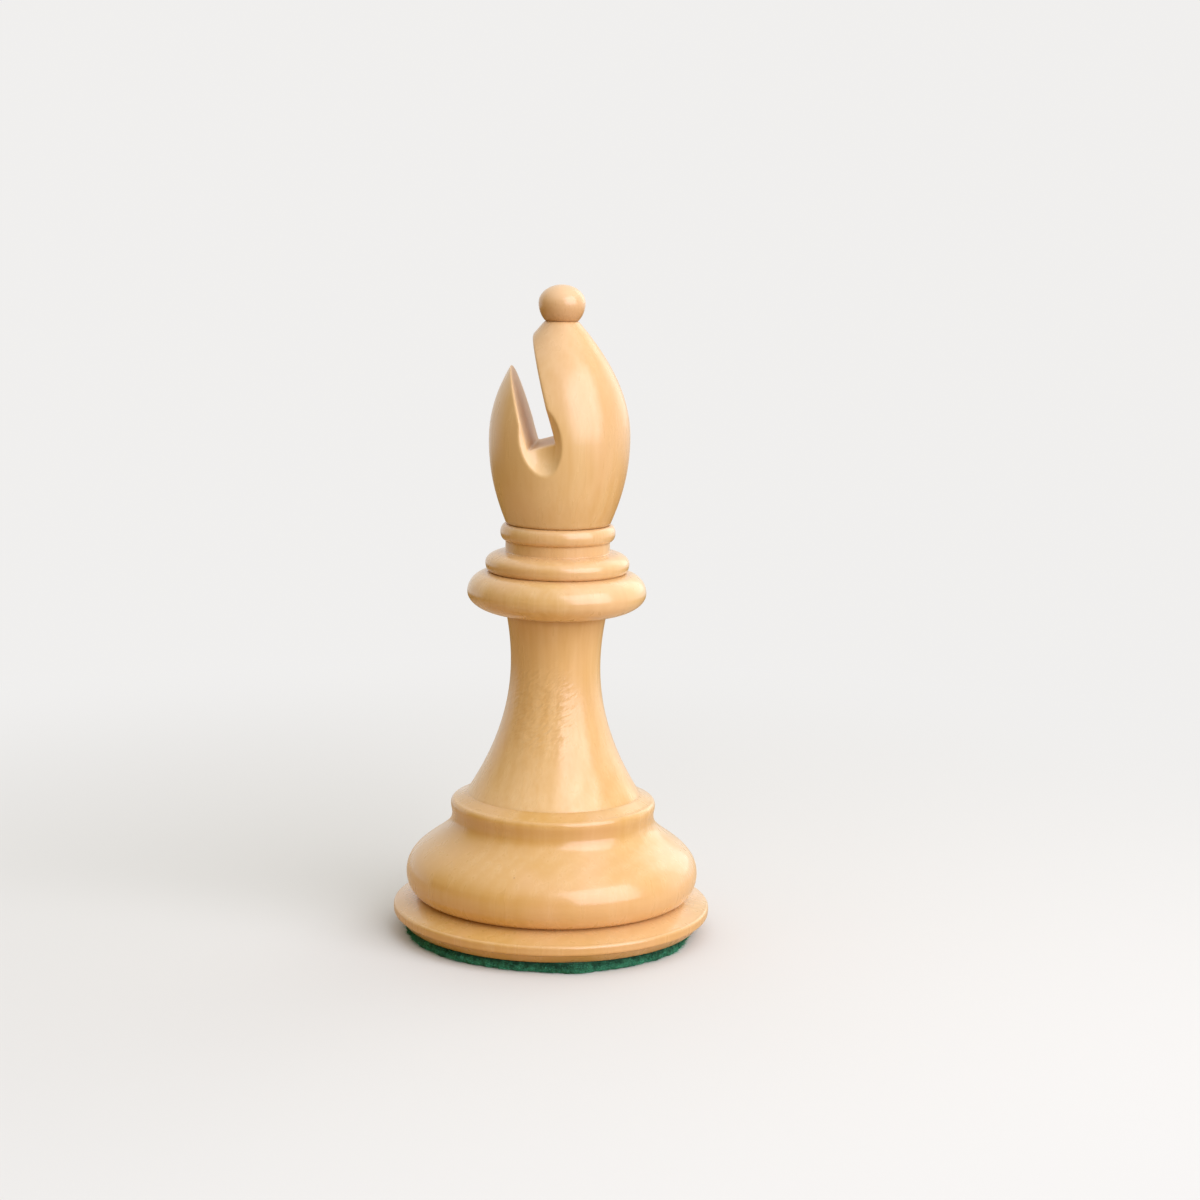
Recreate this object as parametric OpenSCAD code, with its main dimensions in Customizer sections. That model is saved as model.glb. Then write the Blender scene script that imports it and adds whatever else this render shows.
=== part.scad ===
// Weighted wooden chess bishop, turned in sections on one axis and glued up.
// Millimetres. +Z is up the axis of the piece, and the origin is the middle of the felt's underside.
// The saw cut in the mitre goes right through along Y, and leans towards -X as it rises.

/* [Felt] */
// Thickness of the felt pad
felt_t = 1.2; // [0.6:0.1:3]
// How far the felt's edge stays inside the edge of the wood above it
felt_inset = 0.1; // [0:0.05:1]

/* [Foot] */
// How far the foot's rim stands out past the belly
foot_step = 1.5; // [0.5:0.05:4]
// Width of the chamfer under the rim
foot_chamfer_w = 0.95; // [0.4:0.05:3]
// Height of the chamfer under the rim
foot_chamfer_h = 1.05; // [0.4:0.05:3]
// Height of the rim's lower round, from the chamfer to its widest line
rim_low_h = 0.65; // [0.2:0.05:2]
// Depth of the rim's lower round, in from its widest line
rim_low_w = 0.3; // [0.1:0.05:1]
// Height of the rim's upper round
rim_high_h = 0.75; // [0.2:0.05:2]
// Depth of the rim's upper round, in from its widest line
rim_high_w = 0.8; // [0.3:0.05:2]
// Rise of the foot's sloping top, up to the crevice
foot_rise = 0.9; // [0.3:0.05:3]

/* [Belly] */
// Diameter of the belly at its widest
belly_d = 35.1; // [30:0.1:44]
// How far the crevice under the belly is cut in
crevice_in = 1.85; // [0.5:0.05:4]
// Height from the crevice to the belly's widest line
belly_low_h = 2.7; // [1.5:0.05:6]
// Height of the ogee above the belly's widest line
ogee_h = 6.4; // [4:0.1:12]
// How far the ogee's upper end lags behind the ring, as a share of its height
ogee_hollow = 0.53; // [0.3:0.01:0.8]

/* [Ring] */
// Width of the ledge round the foot of the stem
ledge_w = 1.85; // [0.8:0.05:3]
// Height of the ring's upright side
ring_side_h = 1.95; // [0.5:0.05:4]
// Radius of the round on the ring's edge
ring_round = 0.75; // [0.2:0.05:1.5]
// Rise of the ledge, from the round up to the stem
ledge_rise = 0.6; // [0.2:0.05:2]

/* [Stem] */
// Diameter of the stem where it stands on the base
stem_foot_d = 20.8; // [15:0.1:26]
// Diameter of the stem's waist
waist_d = 10.7; // [9.5:0.1:14]
// Diameter of the stem where it meets the collar
stem_top_d = 12; // [9.5:0.1:15]
// Height from the base to the waist
stem_low_h = 15.7; // [8:0.1:25]
// Height from the waist to the collar
stem_high_h = 6.2; // [3:0.1:12]
// How sharply the stem flares near its foot
flare_power = 2; // [1.5:0.05:3]

/* [Collar] */
// How far the wide bead stands out past the line of the stem's foot below it
bead_over = 0.25; // [-2:0.05:3]
// Height of the wide bead's lower half
wide_low_h = 2.5; // [1:0.05:5]
// Height of the wide bead's upper half
wide_high_h = 2.45; // [1:0.05:5]
// Diameter of the crease between the wide and middle beads
crease_d = 16; // [13:0.1:18]
// Diameter of the middle bead
middle_bead_d = 17.1; // [14:0.1:21]
// Height of the middle bead's lower half
middle_low_h = 1.1; // [0.5:0.05:3]
// Height of the middle bead's upper half
middle_high_h = 1.3; // [0.5:0.05:3]
// Diameter of the neck above the middle bead
neck_d = 12.4; // [10:0.1:15]
// Height of the neck
neck_h = 1.35; // [0.5:0.05:4]
// Diameter of the thin top bead
top_bead_d = 13.65; // [11:0.05:17]
// Height of the top bead's lower half
top_low_h = 0.95; // [0.3:0.05:2]
// Height of the top bead's upper half
top_high_h = 1; // [0.3:0.05:2]

/* [Mitre] */
// Diameter of the mitre's foot
mitre_foot_d = 12.3; // [10:0.1:15]
// Diameter of the mitre at its widest
mitre_d = 16.66; // [14:0.02:20]
// Diameter of the seat for the finial
mitre_top_d = 3.9; // [3.4:0.1:6]
// Height from the foot to the widest line
mitre_low_h = 10.1; // [6:0.1:16]
// Height from the widest line to the finial's seat
mitre_high_h = 13.8; // [10:0.1:20]
// Outward lean of the side at the foot, from upright
foot_lean = 22.6; // [5:0.1:40]
// Inward lean of the side at the finial, from upright
top_lean = 41.3; // [20:0.1:60]
// Share of the lower height over which the side keeps its lean at the foot
foot_hold = 0.3; // [0.15:0.01:0.5]
// Share of the lower height over which the side nears upright
low_hold = 0.4; // [0.2:0.01:0.6]
// Share of the upper height over which the side leaves upright
high_hold = 0.385; // [0.2:0.005:0.6]
// Share of the upper height over which the side keeps its lean at the finial
top_hold = 0.3; // [0.15:0.01:0.5]

/* [Saw cut] */
// Width of the cut
slot_w = 3.5; // [2:0.1:5]
// Lean of the cut from upright
slot_tilt = 16; // [8:0.5:25]
// Distance of the middle of the cut's floor from the axis
slot_off = 1.4; // [0.5:0.05:3]
// Depth of the middle of the cut's floor below the mitre's widest line
slot_sink = 0.4; // [0:0.05:2]
// Width of the scoop at each mouth of the cut
scoop_w = 4.9; // [3:0.1:7]
// Length of the scoop along the cut
scoop_l = 8.5; // [6:0.1:12]
// Depth of the scoop at its middle
scoop_depth = 1.5; // [0.6:0.05:3]
// Height of the scoop's middle above the cut's floor
scoop_lift = 0.8; // [0:0.05:3]

/* [Finial] */
// Diameter of the finial
finial_d = 5.5; // [4.6:0.1:8]
// Height from the seat to the finial's widest line
finial_low_h = 2.05; // [1:0.05:4]
// Height from the widest line to the top
finial_high_h = 2.15; // [1:0.05:4]
// Diameter of the finial's peg
peg_d = 2.2; // [1.5:0.1:2.8]
// Length of the finial's peg
peg_l = 3; // [1.5:0.1:4]

/* [Tenons] */
// Diameter of the stem's lower tenon
low_tenon_d = 9; // [6:0.1:12]
// Length of the stem's lower tenon
low_tenon_l = 4.2; // [2:0.1:6]
// Diameter of the stem's upper tenon, through the collar
high_tenon_d = 7; // [5:0.1:8]
// Length of the upper tenon that stands in the mitre
high_tenon_l = 5; // [2:0.1:6]

/* [Weight] */
// Thickness of the wood beside the pocket, in from the crevice
pocket_wall = 4.2; // [2.5:0.1:7]
// Thickness of the wood between the pocket and the stem's mortise
pocket_web = 2; // [1:0.1:4]
// Thickness of the plug that closes the pocket
plug_t = 1.5; // [0.8:0.1:3]
// Thickness of the bedding beside the slug
bed_side_t = 1.4; // [0.5:0.1:3]
// Thickness of the bedding over the slug
bed_over_t = 0.9; // [0.4:0.1:2]

/* [Fits] */
// Film of glue round each tenon, plug and slug
glue_gap = 0.05; // [0.02:0.01:0.2]
// Space for glue at the blind end of each socket
end_gap = 0.25; // [0.1:0.05:0.6]

/* [Hidden] */

// Facets of the round parts, steps in each quarter curve and steps in each long curve
$fn = 96;
quarter_steps = 8;
long_steps = 18;
// Overrun of a cut past the face that it opens
cut_over = 1;

boxwood = "#e3b678";
finial_wood = "#c98a45";
baize = "#1f5a3c";
iron = "#4a4a4c";
putty = "#b9a98c";
plug_wood = "#a8875a";

// Heights from the table up
foot_z = felt_t;
rim_low_z = foot_z + foot_chamfer_h;
rim_z = rim_low_z + rim_low_h;
rim_top_z = rim_z + rim_high_h;
crevice_z = rim_top_z + foot_rise;
belly_z = crevice_z + belly_low_h;
ring_z = belly_z + ogee_h;
ring_edge_z = ring_z + ring_side_h;
ledge_z = ring_edge_z + ring_round;
stem_z = ledge_z + ledge_rise;
waist_z = stem_z + stem_low_h;
collar_z = waist_z + stem_high_h;
wide_bead_z = collar_z + wide_low_h;
crease_z = wide_bead_z + wide_high_h;
middle_bead_z = crease_z + middle_low_h;
neck_z = middle_bead_z + middle_high_h;
top_bead_foot_z = neck_z + neck_h;
top_bead_z = top_bead_foot_z + top_low_h;
mitre_z = top_bead_z + top_high_h;
mitre_wide_z = mitre_z + mitre_low_h;
finial_z = mitre_wide_z + mitre_high_h;
finial_wide_z = finial_z + finial_low_h;
finial_top_z = finial_wide_z + finial_high_h;

// Radii
belly_r = belly_d / 2;
rim_r = belly_r + foot_step;
rim_low_r = rim_r - rim_low_w;
foot_r = rim_low_r - foot_chamfer_w;
crevice_r = belly_r - crevice_in;
stem_foot_r = stem_foot_d / 2;
ring_r = stem_foot_r + ledge_w;
felt_r = foot_r - felt_inset;
wide_bead_r = stem_foot_r + bead_over;
mitre_r = mitre_d / 2;
pocket_r = crevice_r - pocket_wall;
slug_r = pocket_r - glue_gap - bed_side_t - glue_gap;

// Heights inside the base
mortise_z = stem_z - low_tenon_l - end_gap;
pocket_top_z = mortise_z - pocket_web;
plug_top_z = felt_t + plug_t;
slug_top_z = pocket_top_z - bed_over_t;

// Place of the saw cut's floor, and a length that clears the mitre on every side
slot_z = mitre_wide_z - slot_sink;
slot_clear = mitre_d + mitre_high_h;
// The scoops face straight out from the mitre's side, as if ground by a wheel with a rounded edge
scoop_y = sqrt(mitre_r * mitre_r - slot_off * slot_off);
scoop_swing = asin(slot_off / mitre_r);
wheel_r = (scoop_l * scoop_l / 4 + scoop_depth * scoop_depth) / (2 * scoop_depth);

// Quarter ellipse from [r0, z0] to [r1, z1], level at first and upright at last, without its first point
function swell(r0, z0, r1, z1) =
    [for (i = [1:quarter_steps])
        let (turn = 90 * i / quarter_steps)
        [r0 + (r1 - r0) * sin(turn), z1 - (z1 - z0) * cos(turn)]];

// Quarter ellipse from [r0, z0] to [r1, z1], upright at first and level at last, without its first point
function draw_in(r0, z0, r1, z1) =
    [for (i = [1:quarter_steps])
        let (turn = 90 * i / quarter_steps)
        [r1 + (r0 - r1) * cos(turn), z0 + (z1 - z0) * sin(turn)]];

// Cubic curve between a and d with handles b and c, without its first point
function curve(a, b, c, d) =
    [for (i = [1:long_steps])
        let (t = i / long_steps, u = 1 - t)
        u * u * u * a + 3 * u * u * t * b + 3 * u * t * t * c + t * t * t * d];

// Side of the stem at height z
function stem_r(z) =
    z < waist_z
        ? waist_d / 2 + (stem_foot_r - waist_d / 2) * pow((waist_z - z) / stem_low_h, flare_power)
        : waist_d / 2 + (stem_top_d / 2 - waist_d / 2) * pow((z - waist_z) / stem_high_h, 2);

module turned(outline) {
    rotate_extrude() polygon(outline);
}

module rod(d, z0, z1) {
    translate([0, 0, z0]) cylinder(d = d, h = z1 - z0);
}

// Round hole for a tenon or plug of diameter d, with its film of glue
module socket(d, z0, z1) {
    rod(d + 2 * glue_gap, z0, z1);
}

module felt_pad() {
    color(baize) rod(2 * felt_r, 0, felt_t);
}

module base() {
    outline = concat(
        [[0, foot_z], [foot_r, foot_z], [rim_low_r, rim_low_z]],
        swell(rim_low_r, rim_low_z, rim_r, rim_z),
        draw_in(rim_r, rim_z, rim_r - rim_high_w, rim_top_z),
        [[crevice_r, crevice_z]],
        swell(crevice_r, crevice_z, belly_r, belly_z),
        curve([belly_r, belly_z], [belly_r, belly_z + ogee_h / 2],
              [ring_r, ring_z - ogee_h * ogee_hollow], [ring_r, ring_z]),
        [[ring_r, ring_edge_z]],
        draw_in(ring_r, ring_edge_z, ring_r - ring_round, ledge_z),
        [[stem_foot_r, stem_z], [0, stem_z]]);
    color(boxwood) difference() {
        turned(outline);
        rod(2 * pocket_r, foot_z - cut_over, pocket_top_z);
        socket(low_tenon_d, mortise_z, stem_z + cut_over);
    }
}

module weight_slug() {
    color(iron) rod(2 * slug_r, plug_top_z, slug_top_z);
}

module weight_bedding() {
    color(putty) difference() {
        rod(2 * (pocket_r - glue_gap), plug_top_z, pocket_top_z);
        rod(2 * (slug_r + glue_gap), plug_top_z - cut_over, slug_top_z);
    }
}

module pocket_plug() {
    color(plug_wood) rod(2 * (pocket_r - glue_gap), felt_t, plug_top_z);
}

module stem() {
    outline = concat(
        [[0, stem_z]],
        [for (i = [0:long_steps]) let (z = stem_z + stem_low_h * i / long_steps) [stem_r(z), z]],
        [for (i = [1:quarter_steps]) let (z = waist_z + stem_high_h * i / quarter_steps) [stem_r(z), z]],
        [[0, collar_z]]);
    color(boxwood) union() {
        turned(outline);
        rod(low_tenon_d, stem_z - low_tenon_l, stem_z + cut_over);
        rod(high_tenon_d, collar_z - cut_over, mitre_z + high_tenon_l);
    }
}

module collar() {
    outline = concat(
        [[0, collar_z], [stem_top_d / 2, collar_z]],
        swell(stem_top_d / 2, collar_z, wide_bead_r, wide_bead_z),
        draw_in(wide_bead_r, wide_bead_z, crease_d / 2, crease_z),
        swell(crease_d / 2, crease_z, middle_bead_d / 2, middle_bead_z),
        draw_in(middle_bead_d / 2, middle_bead_z, neck_d / 2, neck_z),
        [[neck_d / 2, top_bead_foot_z]],
        swell(neck_d / 2, top_bead_foot_z, top_bead_d / 2, top_bead_z),
        draw_in(top_bead_d / 2, top_bead_z, mitre_foot_d / 2, mitre_z),
        [[0, mitre_z]]);
    color(boxwood) difference() {
        turned(outline);
        socket(high_tenon_d, collar_z - cut_over, mitre_z + cut_over);
    }
}

// Wheel that hollows the mouth on the -Y side, lying across the cut
module scoop() {
    edge = [for (i = [-quarter_steps:quarter_steps])
        let (share = i / quarter_steps)
        [wheel_r - scoop_depth * share * share, scoop_w / 2 * share]];
    translate([0, -scoop_y, scoop_lift]) rotate([0, 0, -scoop_swing])
        translate([0, scoop_depth - wheel_r, 0]) rotate([0, 90, 0])
            turned(concat([[0, -scoop_w / 2]], edge, [[0, scoop_w / 2]]));
}

module saw_cut() {
    translate([-slot_off, 0, slot_z]) rotate([0, -slot_tilt, 0]) {
        translate([-slot_w / 2, -slot_clear / 2, 0]) cube([slot_w, slot_clear, slot_clear]);
        scoop();
        mirror([0, 1, 0]) scoop();
    }
}

module mitre() {
    foot = [mitre_foot_d / 2, mitre_z];
    widest = [mitre_r, mitre_wide_z];
    top = [mitre_top_d / 2, finial_z];
    outline = concat(
        [[0, mitre_z], foot],
        curve(foot, foot + mitre_low_h * foot_hold * [tan(foot_lean), 1],
              widest - [0, mitre_low_h * low_hold], widest),
        curve(widest, widest + [0, mitre_high_h * high_hold],
              top + mitre_high_h * top_hold * [tan(top_lean), -1], top),
        [[0, finial_z]]);
    color(boxwood) difference() {
        turned(outline);
        socket(high_tenon_d, mitre_z - cut_over, mitre_z + high_tenon_l + end_gap);
        socket(peg_d, finial_z - peg_l - end_gap, finial_z + cut_over);
        saw_cut();
    }
}

module finial() {
    // The lower half is the part of a taller ellipse that ends at the seat
    seat_turn = acos(mitre_top_d / finial_d);
    low_scale = finial_low_h / sin(seat_turn);
    outline = concat(
        [[0, finial_z]],
        [for (i = [0:quarter_steps])
            let (turn = seat_turn * (i / quarter_steps - 1))
            [finial_d / 2 * cos(turn), finial_wide_z + low_scale * sin(turn)]],
        draw_in(finial_d / 2, finial_wide_z, 0, finial_top_z));
    color(finial_wood) union() {
        turned(outline);
        rod(peg_d, finial_z - peg_l, finial_z + finial_low_h);
    }
}

felt_pad();
base();
weight_slug();
weight_bedding();
pocket_plug();
stem();
collar();
mitre();
finial();
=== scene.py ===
# %% [markdown]
# # A chess bishop in lacquered boxwood
# The bishop is turned in sections on a lathe: a base on a green felt pad, a flared stem, a collar of
# three beads, a mitre with a leaning saw cut, and a small ball on top. This lesson rebuilds each section
# as a turner would, by drawing half of its outline and spinning it about the axis, and then gives it its
# finish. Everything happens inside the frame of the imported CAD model, so each section lands where its
# solid is.

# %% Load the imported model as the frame
import math
import random

import bpy
import numpy as np
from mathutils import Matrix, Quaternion, Vector, noise


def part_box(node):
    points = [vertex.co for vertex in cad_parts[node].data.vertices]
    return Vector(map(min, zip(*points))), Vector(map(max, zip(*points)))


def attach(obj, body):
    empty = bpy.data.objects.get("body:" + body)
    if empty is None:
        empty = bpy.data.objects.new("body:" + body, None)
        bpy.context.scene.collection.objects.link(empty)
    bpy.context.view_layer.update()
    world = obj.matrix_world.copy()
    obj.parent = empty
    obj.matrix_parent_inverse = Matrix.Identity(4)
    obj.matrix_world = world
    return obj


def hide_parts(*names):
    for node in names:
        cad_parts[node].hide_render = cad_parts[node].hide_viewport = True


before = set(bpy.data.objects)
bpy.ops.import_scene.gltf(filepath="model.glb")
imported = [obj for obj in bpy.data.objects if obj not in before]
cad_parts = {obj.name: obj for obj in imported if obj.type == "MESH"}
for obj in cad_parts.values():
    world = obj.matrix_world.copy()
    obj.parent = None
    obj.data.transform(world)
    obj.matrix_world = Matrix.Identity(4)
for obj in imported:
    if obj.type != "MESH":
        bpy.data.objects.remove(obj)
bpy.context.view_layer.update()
MM = 0.001

# %% [markdown]
# ## The camera
# The camera comes first, because every later choice is judged through it. Its place, direction and lens
# could be found by eye, but they were solved from measured points of the picture, which is right to a
# fraction of a pixel. A small roll is left in, because the picture has it.

# %% Set up the camera
CAMERA_AT = Vector((22.52, -283.01, 87.6)) * MM
CAMERA_LOOK = Vector((-0.0604, 0.9846, -0.1639))
CAMERA_ROLL = math.radians(1.21)

bpy.ops.object.select_all(action="DESELECT")
bpy.ops.object.camera_add(location=CAMERA_AT)
camera = bpy.context.object
camera.rotation_mode = "QUATERNION"
camera.rotation_quaternion = CAMERA_LOOK.to_track_quat("-Z", "Y") @ Quaternion((0, 0, 1), CAMERA_ROLL)
camera.data.sensor_width = 36.0
camera.data.lens = 72.54
camera.data.clip_start = 0.01
bpy.context.scene.camera = camera
print("camera lens:", camera.data.lens, "mm")

# %% [markdown]
# ## Sums that become nodes
# A finish is a small network of nodes. Wiring it by hand is slow to write and slower to read, so one
# class wraps an output socket and turns Python sums on it into Math nodes, and another adds any other
# node in one line.

# %% A socket that takes part in sums
class Socket:
    """An output socket: a sum on it adds Math nodes to the network that it belongs to."""

    def __init__(self, network, output):
        self.network = network
        self.output = output

    def math(self, operation, *values):
        return self.network.node("ShaderNodeMath", {"operation": operation}, dict(enumerate(values)))

    def __add__(self, other):
        return self.math("ADD", self, other)

    def __radd__(self, other):
        return self.math("ADD", other, self)

    def __sub__(self, other):
        return self.math("SUBTRACT", self, other)

    def __rsub__(self, other):
        return self.math("SUBTRACT", other, self)

    def __mul__(self, other):
        return self.math("MULTIPLY", self, other)

    def __rmul__(self, other):
        return self.math("MULTIPLY", other, self)

    def __pow__(self, other):
        return self.math("POWER", self, other)

    def __abs__(self):
        return self.math("ABSOLUTE", self)

    def sine(self):
        return self.math("SINE", self)

    def between(self, low, high):
        """0 below low, 1 above high, and a smooth step from one to the other."""
        sockets = {"Value": self, "From Min": low, "From Max": high}
        return self.network.node("ShaderNodeMapRange", {"interpolation_type": "SMOOTHSTEP"}, sockets)

    def beside(self, name):
        """Another output of the same node."""
        return Socket(self.network, self.output.node.outputs[name])


print("a socket takes part in sums with +, -, *, ** and abs")

# %% A network of nodes
class Network:
    """The nodes of a material or of the world."""

    def __init__(self, tree):
        self.tree = tree

    def node(self, kind, settings=None, sockets=None, output=0):
        made = self.tree.nodes.new(kind)
        for key, value in (settings or {}).items():
            setattr(made, key, value)
        for key, value in (sockets or {}).items():
            self.feed(made.inputs[key], value)
        return Socket(self, made.outputs[output])

    def feed(self, entry, value):
        if isinstance(value, Socket):
            self.tree.links.new(value.output, entry)
        else:
            entry.default_value = value

    def blend(self, share, first, second):
        sockets = {0: share, 6: first, 7: second}
        return self.node("ShaderNodeMix", {"data_type": "RGBA"}, sockets, output=2)

    def noise(self, place, lumps, detail=2.0):
        """Noise with this many lumps to the millimetre along x, y and z."""
        stretched = self.node("ShaderNodeVectorMath", {"operation": "MULTIPLY"}, {0: place, 1: lumps})
        return self.node("ShaderNodeTexNoise", None, {"Vector": stretched, "Scale": 1.0, "Detail": detail})


print("a network adds any node in one line")

# %% A finish for a surface
class Finish(Network):
    """A procedural material with one surface shader, and a place in millimetres to draw patterns on."""

    def __init__(self, name, shift=(0.0, 0.0, 0.0), **constants):
        self.material = bpy.data.materials.new(name)
        self.material.use_nodes = True
        super().__init__(self.material.node_tree)
        self.surface = self.tree.nodes["Principled BSDF"]
        for key, value in constants.items():
            self.surface.inputs[key.replace("_", " ")].default_value = value
        metres = self.node("ShaderNodeTexCoord", output="Object")
        scale = (1 / MM, 1 / MM, 1 / MM)
        place = self.node("ShaderNodeMapping", None, {"Vector": metres, "Scale": scale})
        self.spot = self.node("ShaderNodeSeparateXYZ", None, {0: place})
        self.height = self.spot.beside("Z")
        self.place = self.node("ShaderNodeVectorMath", {"operation": "ADD"}, {0: place, 1: shift})

    def set(self, name, value):
        self.feed(self.surface.inputs[name], value)

    def bump(self, height, depth_mm):
        sockets = {"Height": height, "Distance": depth_mm * MM, "Strength": 1.0}
        self.set("Normal", self.node("ShaderNodeBump", None, sockets))


print("a finish draws its patterns in millimetres")

# %% [markdown]
# ## Boxwood under lacquer
# Boxwood is pale yellow, very even and fine in grain. Its colour drifts slowly between straw and honey,
# with streaks along the grain, faint growth rings and a few dark flecks. The lacquer is thin, so the
# tool's lines and the fibres still show a little in its gloss. Bands of painted shade darken the wood in the
# creases, at the joints, under the beads, round the rim and on the lower half of the ball. A picture of wood
# would do for one side, but these patterns are solid: they run through the block, so end grain and side
# grain agree.

# %% The colour of boxwood
STRAW = (0.85, 0.605, 0.295, 1.0)
HONEY = (0.70, 0.425, 0.13, 1.0)
ROSE = (0.86, 0.56, 0.33, 1.0)
UMBER = (0.30, 0.125, 0.035, 1.0)
# Painted shade: the colour that the shade bands darken the wood towards.
PAINTED_SHADE = (0.43, 0.19, 0.045, 1.0)
# Sawn raw wood, made paler than it is: part of its colour is painted sheen.
SAWN_AND_SHEEN = (0.86, 0.66, 0.45, 1.0)


def boxwood_colour(finish, heart, honey, rosy):
    """Straw to honey along the grain, round a heart that lies beside the piece.

    Honey is how warm the wood is on average, and rosy is how much of it is blushed."""
    drift = finish.noise(finish.place, (0.07, 0.07, 0.045), 1.0)
    streak = finish.noise(finish.place, (0.85, 0.85, 0.04), 1.5)
    fibre = finish.noise(finish.place, (2.5, 2.5, 0.1), 0.0)
    across = finish.spot - heart[0]
    along = finish.spot.beside("Y") - heart[1]
    reach = (across * across + along * along) ** 0.5
    ring = (reach * 3.6 + drift * 9.0).sine()
    sapwood = (reach - math.hypot(*heart)) * 0.02
    warmth = honey - sapwood + ring * 0.05
    warmth = warmth + (drift - 0.5) * 0.9 + (streak - 0.5) * 0.45 + (fibre - 0.5) * 0.26
    colour = finish.blend(warmth.between(0.0, 1.0), STRAW, HONEY)
    blush = finish.noise(finish.place, (0.1, 0.1, 0.06), 2.0)
    colour = finish.blend(blush.between(0.42, 0.68) * 0.35 + rosy, colour, ROSE)
    return colour, streak, fibre


def flecks(finish, colour):
    """Small dark dashes along the grain, in a few cells only."""
    stretched = {0: finish.place, 1: (0.34, 0.34, 0.2)}
    place = finish.node("ShaderNodeVectorMath", {"operation": "MULTIPLY"}, stretched)
    near = finish.node("ShaderNodeTexVoronoi", None, {"Vector": place, "Scale": 1.0})
    chance = finish.node("ShaderNodeSeparateColor", None, {0: near.beside("Color")})
    mark = (1 - near.between(0.02, 0.055)) * chance.between(0.72, 0.84)
    return finish.blend(mark * 0.4, colour, UMBER)


print("boxwood colours:", STRAW, HONEY)

# %% The tool's chatter
CHATTER_LEAN = math.radians(38)
CHATTER_LUMPS = (0.8, 0.8, 2.5)
CHATTER_SIDE = -0.9
CHATTER_NEAR, CHATTER_FAR = 1.8, 4.4
CHATTER_DEEP, CHATTER_SHALLOW = 8.5, 1.0
CHATTER_FADE = 5.0


def chatter(finish, low, high):
    """Slanting marks between two heights, deepest on the two sides where the tool met the grain."""
    skewed = {"Vector": finish.place, "Rotation": (0.0, CHATTER_LEAN, 0.0)}
    mark = finish.noise(finish.node("ShaderNodeMapping", None, skewed), CHATTER_LUMPS, 1.0)
    started = finish.height.between(low, low + CHATTER_FADE)
    ended = finish.height.between(high - CHATTER_FADE, high)
    aside = abs(finish.spot - CHATTER_SIDE).between(CHATTER_NEAR, CHATTER_FAR)
    depth = CHATTER_DEEP - aside * (CHATTER_DEEP - CHATTER_SHALLOW)
    return mark * started * (1 - ended) * depth


print("chatter marks are", 1 / CHATTER_LUMPS[2], "mm wide")

# %% The lacquer over the wood
LACQUER_INDEX = 1.5
RELIEF_MM = 0.02


def boxwood(name, shift, heart, honey, painted_shade_bands=(), chattered=None, coat=0.3, haze=0.2, sawn=None, rosy=0.0):
    """Boxwood with its lacquer. Shift is the place in the block, and heart is the middle of its rings.

    A painted shade band is a height in mm, a half width, and how much shade is painted there. Chattered is
    two heights between which the tool has left marks. Coat is how much lacquer there is, and haze is its own
    roughness. Sawn is a function that tells the faces that a saw left."""
    finish = Finish(name, shift, Coat_Roughness=haze, Coat_IOR=LACQUER_INDEX, Specular_IOR_Level=0.62)
    colour, streak, fibre = boxwood_colour(finish, heart, honey, rosy)
    colour = flecks(finish, colour)
    # Painted shade: each band darkens the wood towards its height, where shade falls in a crease, at a joint
    # or under a bead.
    for height, half, share in painted_shade_bands:
        away = abs(finish.height - height)
        colour = finish.blend((1 - away.between(0.0, half)) * share, colour, PAINTED_SHADE)
    roughness = 0.29 + (streak - 0.5) * 0.14
    tool_lines = finish.noise(finish.place, (0.05, 0.05, 1.9), 1.0)
    relief = fibre * 0.1 + tool_lines * 0.5
    if chattered:
        relief = relief + chatter(finish, *chattered)
    if sawn:
        dull = sawn(finish)
        # The sawn faces are raw wood with less lacquer, and their paler colour is partly painted sheen for
        # the reflection they lose.
        colour = finish.blend(dull * 0.6, colour, SAWN_AND_SHEEN)
        roughness = roughness + dull * 0.18
        coat = coat - dull * coat
        relief = relief * (1 - dull * 0.9)
    finish.set("Base Color", colour)
    finish.set("Roughness", roughness)
    finish.set("Coat Weight", coat)
    finish.bump(relief, RELIEF_MM)
    return finish.material


print("boxwood is ready, with a lacquer of index", LACQUER_INDEX)

# %% [markdown]
# ## Turning on the lathe
# A turned piece is half an outline spun about its axis. The outline could be a list of points, but a
# turner thinks in hollows and beads, so it is drawn as a curve with handles: straight runs, quarter
# rounds that leave level or upright, and free curves. Each pair of numbers is a distance from the axis
# and a height, in millimetres. Every sharp corner is eased a little, as sanding and lacquer do.

# %% Draw an outline in runs
ROUND = 0.5523
EASE = 0.12
MOST_CUT = 0.45


def cut(run, share):
    """Both parts of a curved run that is cut at a share of its way."""
    a, b, c, d = run
    ab, bc, cd = a.lerp(b, share), b.lerp(c, share), c.lerp(d, share)
    abc, bcd = ab.lerp(bc, share), bc.lerp(cd, share)
    middle = abc.lerp(bcd, share)
    return (a, ab, abc, middle), (middle, bcd, cd, d)


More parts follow.
